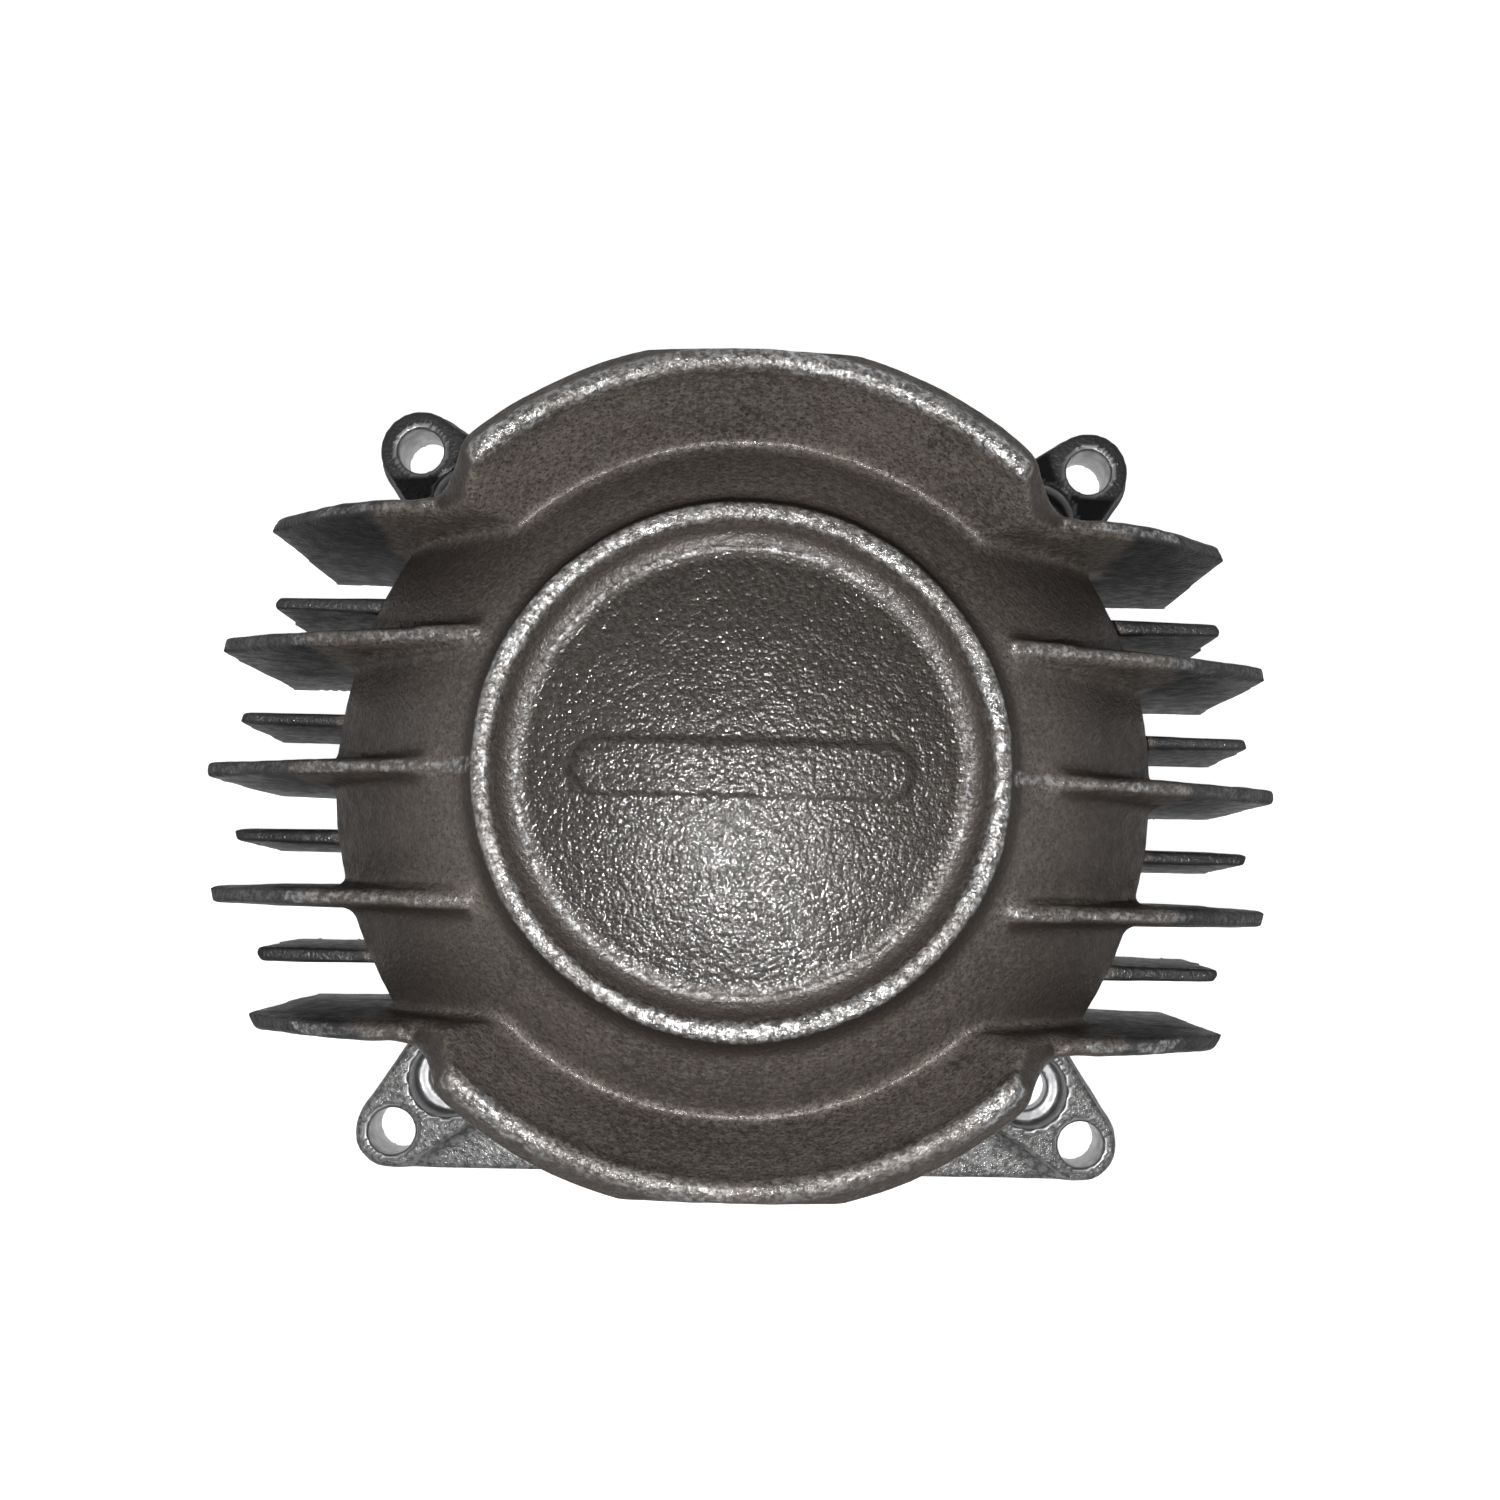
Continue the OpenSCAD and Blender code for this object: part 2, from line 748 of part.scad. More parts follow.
module gas_slots() {
    difference() {
        ring(guard_slot_inner, guard_slot_outer, 0, far);
        for (k = [0 : 3])
            rotate([0, 0, 45 + k * 90])
                translate([0, -spoke_width / 2, -1])
                    cube([far, spoke_width, far + 2]);
    }
}

module discharge_guard() {
    color("slategray")
        difference() {
            union() {
                pin(0, 0, discharge_stop, discharge_guard_radius, discharge_guard_thickness);
                discharge_lugs();
            }
            gas_slots();
            pin(0, 0, 0, bolt_radius + bolt_clearance, far);
            for (side = side_signs)
                pin(side * dowel_circle, 0, 0, dowel_radius + fit_gap, discharge_stop + 4.5);
            for (k = [0 : discharge_spring_count - 1])
                rotate([0, 0, k * 360 / discharge_spring_count])
                    pin(discharge_ring_radius, 0, discharge_stop - 1, pocket_radius, pocket_depth + 1);
        }
}

module suction_guard() {
    color("slategray")
        difference() {
            union() {
                pin(0, 0, suction_guard_base, hub_radius, suction_stop - suction_guard_base);
                ring(suction_guard_inner, suction_guard_radius, suction_guard_base,
                    suction_stop - suction_guard_base);
                for (k = [0 : 3])
                    rotate([0, 0, 45 + k * 90])
                        translate([0, -spoke_width / 2, suction_guard_base])
                            cube([suction_guard_inner + 2, spoke_width, suction_stop - suction_guard_base - 1]);
            }
            pin(0, 0, 0, bolt_radius + bolt_clearance, far);
            pin(0, 0, 0, bolt_head_radius + 0.3, bolt_seat);
            for (side = side_signs)
                pin(0, side * dowel_circle, bolt_seat + 0.8, dowel_radius + fit_gap, far);
            for (k = [0 : suction_spring_count - 1])
                rotate([0, 0, k * 360 / suction_spring_count])
                    pin(suction_ring_radius, 0, suction_pocket_base, pocket_radius, far);
        }
}

// A round wire swept along a helix, closed by flat end faces.
module coil(base, length) {
    sides = 6;
    steps = round(spring_turns * 12);
    rise = length - 2 * wire_radius;
    points = [for (i = [0 : steps]) for (j = [0 : sides - 1])
        let (a = 360 * spring_turns * i / steps, b = 360 * j / sides, r = coil_radius + wire_radius * cos(b))
            [r * cos(a), r * sin(a), base + wire_radius + rise * i / steps + wire_radius * sin(b)]];
    walls = [for (i = [0 : steps - 1]) for (j = [0 : sides - 1])
        let (k = (j + 1) % sides)
            [i * sides + j, i * sides + k, (i + 1) * sides + k, (i + 1) * sides + j]];
    first = [for (j = [0 : sides - 1]) sides - 1 - j];
    last = [for (j = [0 : sides - 1]) steps * sides + j];
    polyhedron(points = points, faces = concat(walls, [first, last]), convexity = 8);
}

module discharge_springs() {
    color("goldenrod")
        for (k = [0 : discharge_spring_count - 1])
            rotate([0, 0, k * 360 / discharge_spring_count])
                translate([discharge_ring_radius, 0, 0])
                    coil(discharge_plate_base + plate_thickness + plate_gap,
                        discharge_pocket_top - discharge_plate_base - plate_thickness - 2 * plate_gap);
}

module suction_springs() {
    color("goldenrod")
        for (k = [0 : suction_spring_count - 1])
            rotate([0, 0, k * 360 / suction_spring_count])
                translate([suction_ring_radius, 0, 0])
                    coil(suction_pocket_base + plate_gap,
                        suction_plate_base - suction_pocket_base - 2 * plate_gap);
}

module centre_bolt() {
    color("darkgray")
        difference() {
            union() {
                pin(0, 0, bolt_head_base, bolt_head_radius, bolt_head_height);
                pin(0, 0, bolt_head_base, bolt_radius, bolt_top - bolt_head_base);
            }
            translate([0, 0, bolt_head_base - 1])
                cylinder(r = socket_radius, h = socket_depth + 1, $fn = 6);
            translate([-far / 2, 0, split_pin_height])
                rotate([0, 90, 0])
                    cylinder(r = pin_radius + fit_gap, h = far);
        }
}

module nut_washer() {
    color("lightgray")
        ring(bolt_radius + bolt_clearance, washer_radius, discharge_guard_top, washer_thickness);
}

module castle_nut() {
    color("darkgray")
        difference() {
            union() {
                translate([0, 0, washer_top])
                    cylinder(d = nut_flats / cos(30), h = nut_height, $fn = 6);
                pin(0, 0, washer_top, nut_flats / 2 - 0.6, nut_height + crown_height);
            }
            pin(0, 0, 0, bolt_radius + fit_gap, far);
            for (k = [0 : 2])
                rotate([0, 0, k * 60])
                    translate([-far / 2, -crown_slot / 2, washer_top + nut_height])
                        cube([far, crown_slot, far]);
        }
}

module split_pin() {
    leg_start = nut_flats / 2 - 0.2;
    color("lightgray") {
        translate([-leg_start - 1, 0, split_pin_height])
            rotate([0, 90, 0])
                cylinder(r = pin_radius, h = 2 * leg_start + 2);
        translate([-leg_start - 2.6, 0, split_pin_height])
            rotate([90, 0, 0])
                rotate_extrude()
                    translate([1.8, 0])
                        circle(r = 0.8, $fn = 24);
        for (side = side_signs)
            translate([leg_start + 0.8, 0, split_pin_height])
                rotate([-side * 90, 0, 0])
                    cylinder(r = 0.75, h = 6.5);
    }
}

module discharge_dowels() {
    color("lightgray")
        for (side = side_signs)
            pin(side * dowel_circle, 0, seat_top - 4, dowel_radius, discharge_stop - seat_top + 8);
}

module suction_dowels() {
    color("lightgray")
        for (side = side_signs)
            pin(0, side * dowel_circle, bolt_seat + 1, dowel_radius, seat_bottom + 4 - bolt_seat - 1);
}

module index_pin() {
    color("lightgray")
        pin(rim_circle, 0, index_base, index_radius, index_length);
}

module seat_gasket() {
    color("saddlebrown")
        difference() {
            ring(shoulder_radius + 0.3, seat_radius - 0.3, seat_rim_top, gasket_thickness);
            pin(rim_circle, 0, 0, index_radius + 0.2, far);
            for (k = [0 : screw_count - 1])
                rotate([0, 0, 60 + k * 360 / screw_count])
                    pin(rim_circle, 0, 0, screw_radius + 0.2, far);
        }
}

module divider_gasket() {
    color("saddlebrown")
        ring(discharge_chamber_radius + 0.2, divider_radius - 0.2, seat_top, gasket_thickness);
}

module face_seal() {
    color("black")
        rotate_extrude()
            translate([seal_groove_inner + seal_groove_width / 2, seal_section + eps])
                circle(r = seal_section, $fn = 32);
}

module seat_screws() {
    color("darkgray")
        for (k = [0 : screw_count - 1])
            rotate([0, 0, 60 + k * 360 / screw_count])
                difference() {
                    union() {
                        pin(rim_circle, 0, screw_seat - screw_washer - screw_head_height, screw_head_radius,
                            screw_head_height);
                        pin(rim_circle, 0, screw_seat - screw_washer - eps, screw_radius,
                            screw_length + screw_washer);
                    }
                    translate([rim_circle, 0, screw_seat - screw_washer - screw_head_height - 1])
                        cylinder(r = screw_radius * 0.85, h = screw_head_height * 0.6 + 1, $fn = 6);
                }
}

module seat_screw_washers() {
    color("lightgray")
        for (k = [0 : screw_count - 1])
            rotate([0, 0, 60 + k * 360 / screw_count])
                translate([rim_circle, 0, 0])
                    ring(screw_radius + 2 * fit_gap, screw_head_radius, screw_seat - screw_washer, screw_washer);
}

head_casting();
valve_seat();
discharge_plate();
discharge_spacer();
discharge_guard();
discharge_springs();
suction_plate();
suction_spacer();
suction_guard();
suction_springs();
centre_bolt();
nut_washer();
castle_nut();
split_pin();
discharge_dowels();
suction_dowels();
index_pin();
seat_gasket();
divider_gasket();
face_seal();
seat_screws();
seat_screw_washers();
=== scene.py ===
"""Looks of the finned compressor cylinder head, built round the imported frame."""
import math

import bpy
import numpy as np
from mathutils import Matrix, Vector


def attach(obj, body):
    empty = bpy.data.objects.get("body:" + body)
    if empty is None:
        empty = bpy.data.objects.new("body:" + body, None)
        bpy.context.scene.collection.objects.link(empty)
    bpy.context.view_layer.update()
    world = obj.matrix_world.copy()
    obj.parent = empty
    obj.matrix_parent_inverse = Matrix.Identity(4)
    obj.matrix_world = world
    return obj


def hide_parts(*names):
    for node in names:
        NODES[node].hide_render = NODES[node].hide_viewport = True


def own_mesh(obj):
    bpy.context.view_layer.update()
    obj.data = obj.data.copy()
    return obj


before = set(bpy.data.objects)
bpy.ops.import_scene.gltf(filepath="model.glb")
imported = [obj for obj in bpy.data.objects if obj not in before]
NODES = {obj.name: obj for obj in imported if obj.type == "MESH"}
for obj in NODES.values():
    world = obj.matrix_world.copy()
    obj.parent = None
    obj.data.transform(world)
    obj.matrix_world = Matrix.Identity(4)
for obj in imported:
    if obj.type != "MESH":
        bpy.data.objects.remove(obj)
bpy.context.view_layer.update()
MM = 0.001

# ---------------------------------------------------------------- sizes shared with the CAD, in mm
RING_TOP = 74.0
RING_MID = 41.6
RIM_RADIUS = 66.0
FLOOR_Z = 70.0
DISC_RADIUS = 35.5
FLOOR_RADIUS = 36.6
DOME_RADIUS = 187.0
PAD_HALF = 23.0
PAD_ROUND = 4.5
PAD_HEIGHT = 0.6
PORT_FACE = 68.0
SUCTION_PORT_Z = 40.0
DISCHARGE_PORT_Z = 43.0
SUCTION_PORT_BORE = 15.6
DISCHARGE_PORT_BORE = 12.6
BOSS_START = 54.0
SPOT_FACE = 20.0
EAR = 67.25
BOLT = 57.0
RECESS = 62.15
RECESS_TOP = 26.5
FACE_SKIN = 0.4
EAR_HOLE = 5.4
COUNTERBORE = 8.2
FLANGE_TOP = 12.6
EAR_SIDE = 47.5
FIN_PITCH = 22.0
FIN_CROWN_RADIUS = 167.4
FIN_CROWN_DEPTH = 96.1
CAP_ARC = 100.2
CAP_OFFSET = 11.5
CAP_CENTRE = -15.75

# ---------------------------------------------------------------- camera
SENSOR_WIDTH = 36.0
FOCAL_LENGTH = 37.21608
LENS_SHIFT = (-0.0415867, 0.0254267)
TILT_DEGREES = (-4.0564, 1.6677, -1.3880)
CREST_FROM_LENS = Vector((-11.04, 3.15, -245.45))


def make_camera():
    """The lens looks down on the turret, a little tilted; its place is set from the ring crest."""
    rx, ry, rz = (Matrix.Rotation(math.radians(v), 3, ax) for v, ax in zip(TILT_DEGREES, "XYZ"))
    turn = rx @ ry @ rz
    place = Vector((0, 0, RING_TOP)) - turn.transposed() @ CREST_FROM_LENS
    data = bpy.data.cameras.new("camera")
    cam = bpy.data.objects.new("camera", data)
    bpy.context.scene.collection.objects.link(cam)
    cam.matrix_world = Matrix.Translation(place * MM) @ turn.transposed().to_4x4()
    data.sensor_width = SENSOR_WIDTH
    data.lens = FOCAL_LENGTH
    data.shift_x, data.shift_y = LENS_SHIFT
    data.clip_start, data.clip_end = 0.01, 20.0
    bpy.context.scene.camera = cam


# ---------------------------------------------------------------- lights and floor, in metres and watts
AIR_COLOUR = (0.93, 0.96, 1.0, 1)
AIR_STRENGTH = 0.14
BACKDROP_COLOUR = (0.93, 0.94, 0.95, 1)
BACKDROP_STRENGTH = 0.9
FLOOR_HALF = 3.0
FLOOR_DROP = 0.0002
FLOOR_COLOUR = (0.3, 0.3, 0.3, 1)
FLOOR_GLOW = 0.98
FLASH_PLACE = (-0.002, -0.047, 0.32)
FLASH_SIZE = 0.008
FLASH_POWER = 1.2
SOFT_AIM = (0, 0, 0.03)
SOFT_SIZE = 0.8
SOFT_POWER = 1.0


def disk_light(name, place, aim, size, power):
    data = bpy.data.lights.new(name, "AREA")
    data.shape = "DISK"
    data.size, data.energy = size, power
    light = bpy.data.objects.new(name, data)
    bpy.context.scene.collection.objects.link(light)
    place, aim = Vector(place), Vector(aim)
    light.location = place
    light.rotation_mode = "QUATERNION"
    light.rotation_quaternion = (aim - place).to_track_quat("-Z", "Y")


def make_world():
    """Weak soft light all round, with a pale backdrop where the camera sees past the floor."""
    world = bpy.data.worlds.new("studio")
    bpy.context.scene.world = world
    world.use_nodes = True
    tree = world.node_tree
    back = tree.nodes["Background"]
    back.inputs["Color"].default_value = AIR_COLOUR
    back.inputs["Strength"].default_value = AIR_STRENGTH
    pale = tree.nodes.new("ShaderNodeBackground")
    pale.inputs["Color"].default_value = BACKDROP_COLOUR
    pale.inputs["Strength"].default_value = BACKDROP_STRENGTH
    path = tree.nodes.new("ShaderNodeLightPath")
    choose = tree.nodes.new("ShaderNodeMixShader")
    tree.links.new(path.outputs["Is Camera Ray"], choose.inputs[0])
    tree.links.new(back.outputs[0], choose.inputs[1])
    tree.links.new(pale.outputs[0], choose.inputs[2])
    tree.links.new(choose.outputs[0], tree.nodes["World Output"].inputs["Surface"])
    bpy.context.scene.view_settings.view_transform = "Standard"


def make_floor():
    """A plain white floor that glows enough to leave almost no shadow."""
    r = FLOOR_HALF
    me = bpy.data.meshes.new("floor")
    me.from_pydata([(-r, -r, 0), (r, -r, 0), (r, r, 0), (-r, r, 0)], [], [(0, 1, 2, 3)])
    floor = bpy.data.objects.new("floor", me)
    bpy.context.scene.collection.objects.link(floor)
    floor.location.z = -FLOOR_DROP
    mat = bpy.data.materials.new("floor")
    mat.use_nodes = True
    b = mat.node_tree.nodes["Principled BSDF"]
    b.inputs["Base Color"].default_value = FLOOR_COLOUR
    b.inputs["Roughness"].default_value = 0.9
    b.inputs["Specular IOR Level"].default_value = 0.1
    b.inputs["Emission Color"].default_value = (1, 1, 1, 1)
    b.inputs["Emission Strength"].default_value = FLOOR_GLOW
    me.materials.append(mat)


def make_lights():
    """One small hard lamp beside the lens, and two wide weak ones."""
    disk_light("key", FLASH_PLACE, (0.0, -0.02, 0.05), FLASH_SIZE, FLASH_POWER)
    disk_light("soft_left", (-0.9, 0.5, 1.1), SOFT_AIM, SOFT_SIZE, SOFT_POWER)
    disk_light("soft_right", (0.9, -0.5, 1.0), SOFT_AIM, SOFT_SIZE, SOFT_POWER)


# ---------------------------------------------------------------- numpy noise
def lattice(ix, iy, iz, seed):
    """A repeatable value of -1 to 1 for each whole-number point."""
    h = (ix * 374761393 + iy * 668265263 + iz * 2147483647 + seed * 1274126177) & 0xFFFFFFFF
    h = ((h ^ (h >> 13)) * 1274126177) & 0xFFFFFFFF
    h = ((h ^ (h >> 16)) * 2246822519) & 0xFFFFFFFF
    return ((h ^ (h >> 15)) & 0xFFFF) / 32767.5 - 1.0


def noise(p, size, seed=0):
    """Smooth value noise of -1 to 1 at points p, with cells of that size."""
    q = p / size + 1000.0
    i = np.floor(q).astype(np.int64)
    f = q - i
    f = f * f * (3 - 2 * f)
    out = np.zeros(len(p))
    for dx in (0, 1):
        wx = f[:, 0] if dx else 1 - f[:, 0]
        for dy in (0, 1):
            wy = f[:, 1] if dy else 1 - f[:, 1]
            for dz in (0, 1):
                wz = f[:, 2] if dz else 1 - f[:, 2]
                out += wx * wy * wz * lattice(i[:, 0] + dx, i[:, 1] + dy, i[:, 2] + dz, seed)
    return out


def ramp(x, a, b):
    """0 below a, 1 above b, smooth between."""
    t = np.clip((x - a) / (b - a), 0, 1)
    return t * t * (3 - 2 * t)


# ---------------------------------------------------------------- head mesh
QUICK_VOXEL, FULL_VOXEL = 0.0011, 0.0006
QUICK_STEPS, FULL_STEPS = 14, 34
CONVEX_SHARE = 0.16
STEP_SHARE = 0.62


def head_mesh():
    """A copy of the CAD head, remeshed evenly so that it can be smoothed and roughened."""
    src = NODES["head_casting"]
    obj = bpy.data.objects.new("head_shell", src.data.copy())
    obj.data.materials.clear()
    bpy.context.scene.collection.objects.link(obj)
    mod = obj.modifiers.new("remesh", "REMESH")
    mod.mode = "VOXEL"
    mod.voxel_size = FULL_VOXEL
    mod.use_smooth_shade = True
    dg = bpy.context.evaluated_depsgraph_get()
    me = bpy.data.meshes.new_from_object(obj.evaluated_get(dg))
    obj.modifiers.clear()
    old = obj.data
    obj.data = me
    bpy.data.meshes.remove(old)
    return obj


def smooth_head(obj):
    """Round the hollow corners like cast fillets, keep the outer edges fairly crisp."""
    me = obj.data
    n = len(me.vertices)
    co = np.empty(n * 3, np.float32)
    me.vertices.foreach_get("co", co)
    p = co.reshape(-1, 3).astype(np.float64) / MM
    ed = np.empty(len(me.edges) * 2, np.int32)
    me.edges.foreach_get("vertices", ed)
    a, b = ed[0::2], ed[1::2]
    deg = np.bincount(a, minlength=n) + np.bincount(b, minlength=n)
    start = p.copy()

    def lap(q):
        out = np.empty_like(q)
        for k in range(3):
            s = np.bincount(a, q[b, k], n) + np.bincount(b, q[a, k], n)
            out[:, k] = s / deg
        return out - q

    def normals(q):
        obj_co = (q * MM).astype(np.float32).ravel()
        me.vertices.foreach_set("co", obj_co)
        me.update()
        nn = np.empty(n * 3, np.float32)
        me.vertices.foreach_get("normal", nn)
        return nn.reshape(-1, 3).astype(np.float64)

    r = np.hypot(p[:, 0], p[:, 1])
    x, y, z = p[:, 0], p[:, 1], p[:, 2]
    ear = np.hypot(np.abs(x) - EAR, np.abs(y) - EAR)
    bolt = np.hypot(np.abs(x) - BOLT, np.abs(y) - BOLT)
    # Machined surfaces keep their shape: mating face, recess, holes, port faces.
    machined = (z < FACE_SKIN) | ((r < RECESS + 0.8) & (z < RECESS_TOP)) | (ear < EAR_HOLE)
    machined |= (bolt < COUNTERBORE) & (z < FLANGE_TOP)
    port = np.hypot(x, z - np.where(y > 0, SUCTION_PORT_Z, DISCHARGE_PORT_Z))
    bore = np.where(y > 0, SUCTION_PORT_BORE, DISCHARGE_PORT_BORE)
    machined |= (port < bore) & (np.abs(y) > BOSS_START)
    free = 1.0 - machined.astype(float)
    spot = ramp(port, SPOT_FACE - 1, SPOT_FACE + 1)
    free = np.minimum(free, np.where(np.abs(y) > PORT_FACE - 0.5, spot, 1))
    soft = np.maximum(0.0, 1.0 - np.abs(z - 64) / 9.0) * ramp(np.abs(x), 40, 46) * (r > 60)
    steps = FULL_STEPS
    for _ in range(steps):
        d = lap(p) * free[:, None]
        nn = normals(p)
        along = np.einsum("ij,ij->i", d, nn)
        hollow = ramp(along, -0.004, 0.004)
        convex = CONVEX_SHARE + (1 - CONVEX_SHARE) * soft
        w = hollow + (1 - hollow) * convex
        p += STEP_SHARE * d * w[:, None]
    return p, start, normals(p), free


def rough_head(obj, p, start, nn, free):
    """Casting unevenness as real shape: long waves everywhere, lumpy beads along every crest."""
    x, y, z = start[:, 0], start[:, 1], start[:, 2]
    r = np.hypot(x, y)
    disc = (1 - ramp(r, DISC_RADIUS - 2, DISC_RADIUS)) * (z > FLOOR_Z - 1)
    wave = 0.16 * noise(start, 17, 1) + 0.07 * noise(start, 6.5, 2) + 0.035 * noise(start, 2.6, 3)
    wave *= 1 - 0.75 * disc
    pad = PAD_ROUND - np.hypot(np.maximum(np.abs(x) - PAD_HALF, 0), y)
    dome = (FLOOR_RADIUS**2 - np.minimum(r, FLOOR_RADIUS) ** 2) / (2 * DOME_RADIUS)
    level = FLOOR_Z + dome + PAD_HEIGHT * ramp(pad, -0.4, 0.5)
    p[:, 2] += (level - p[:, 2]) * disc
    ring = np.exp(-(((r - RING_MID) / 2.2) ** 2)) * ramp(z, 71.0, 72.5)
    rim = np.exp(-(((r - RIM_RADIUS) / 2.0) ** 2)) * ramp(z, 69, 72)
    bead = np.maximum(ring, rim)
    lump = 0.12 * noise(start, 2.1, 5) + 0.10 * noise(start, 4.3, 6)
    chamfer = ramp(r, 66.5, 67.5) * ramp(z, 69, 71)
    lump += chamfer * 0.16 * noise(start, 3.2, 7)
    fin = ramp(np.abs(x), 52, 60) * (r > 62) * ramp(z, 28, 31)
    lump_fin = 0.07 * noise(start, 3.4, 8) + 0.05 * noise(start, 1.9, 9)
    d = wave + bead * lump + fin * lump_fin
    lo, hi = start.min(0), start.max(0)
    q = p + nn * (d * free)[:, None]
    q = np.minimum(np.maximum(q, lo), hi)
    me = obj.data
    me.vertices.foreach_set("co", (q * MM).astype(np.float32).ravel())
    me.update()
    me.polygons.foreach_set("use_smooth", np.ones(len(me.polygons), bool))


# ---------------------------------------------------------------- materials
class Nodes:
    """Short names for building a node tree."""

    def __init__(self, name):
        self.mat = bpy.data.materials.new(name)
        self.mat.use_nodes = True
        self.tree = self.mat.node_tree
        self.bsdf = self.tree.nodes["Principled BSDF"]
        self.where = self.tree.nodes.new("ShaderNodeTexCoord").outputs["Object"]

    def new(self, kind, **values):
        n = self.tree.nodes.new(kind)
        for k, v in values.items():
            setattr(n, k, v)
        return n

    def link(self, a, b):
        self.tree.links.new(a, b)

    def put(self, socket, value):
        if isinstance(value, bpy.types.NodeSocket):
            self.link(value, socket)
        else:
            socket.default_value = value

    def noise(self, scale, detail=4.0, rough=0.55):
        n = self.new("ShaderNodeTexNoise")
        n.inputs["Scale"].default_value = scale
        n.inputs["Detail"].default_value = detail
        n.inputs["Roughness"].default_value = rough
        self.link(self.where, n.inputs["Vector"])
        return n.outputs["Fac"]

    def math(self, op, a, b=0.0, clamp=False):
        n = self.new("ShaderNodeMath", operation=op, use_clamp=clamp)
        self.put(n.inputs[0], a)
        self.put(n.inputs[1], b)
        return n.outputs[0]

    def map(self, v, a, b, c=0.0, d=1.0, smooth=True):
        kind = "SMOOTHSTEP" if smooth else "LINEAR"
        n = self.new("ShaderNodeMapRange", interpolation_type=kind)
        self.put(n.inputs["Value"], v)
        for key, val in zip(("From Min", "From Max", "To Min", "To Max"), (a, b, c, d)):
            n.inputs[key].default_value = val
        return n.outputs["Result"]

    def mix(self, fac, a, b):
        n = self.new("ShaderNodeMix", data_type="RGBA")
        self.put(n.inputs["Factor"], fac)
        self.put(n.inputs[6], a)
        self.put(n.inputs[7], b)
        return n.outputs[2]

    def bump(self, height, distance, strength=1.0):
        n = self.new("ShaderNodeBump")
        n.inputs["Strength"].default_value = strength
        n.inputs["Distance"].default_value = distance
        self.link(height, n.inputs["Height"])
        return n.outputs["Normal"]

    def attribute(self, name):
        n = self.new("ShaderNodeAttribute", attribute_name=name)
        return n.outputs["Fac"]


def paint(obj, name, values):
    """Store one number per point under that name, for the material to read."""
    at = obj.data.attributes.new(name, "FLOAT", "POINT")
    at.data.foreach_set("value", values.astype(np.float32))


# Colours are linear; noise scales are per metre.
BROWN_DARK = (0.070, 0.059, 0.051, 1)
BROWN_LIGHT = (0.104, 0.088, 0.077, 1)
BROWN_STAIN = (0.040, 0.035, 0.031, 1)
BROWN_GRAIN_GLINT = (0.16, 0.143, 0.126, 1)
BROWN_PIT = (0.026, 0.022, 0.020, 1)
BROWN_PAINTED_SHADE = (0.040, 0.033, 0.029, 1)
SLATE_DARK = (0.023, 0.0225, 0.0225, 1)
SLATE_LIGHT = (0.043, 0.0425, 0.043, 1)
SLATE_STAIN = (0.016, 0.0155, 0.0155, 1)
SILVER_DARK = (0.08, 0.08, 0.078, 1)
SILVER_LIGHT = (0.18, 0.182, 0.178, 1)
SILVER_STAIN = (0.05, 0.05, 0.048, 1)
# Crest colours: partly real wear, partly a painted highlight where the lamp glints.
WORN_GLINT_DARK = (0.16, 0.16, 0.16, 1)
WORN_GLINT_LIGHT = (0.62, 0.62, 0.62, 1)
DISC_DARK = (0.020, 0.017, 0.015, 1)
DISC_LIGHT = (0.036, 0.031, 0.027, 1)
MACHINED = (0.27, 0.27, 0.275, 1)
BLOTCH_SCALE = 38.0
STAIN_SCALE = 75.0
FINE_SCALE = 900.0
PIT_SCALE = 1900.0
PEEL_SCALE = 1250.0
GRAIN_DEPTH = 0.00026
COAT_ROUGHNESS = 0.13
SKIN_METAL = (0.3, 0.9)


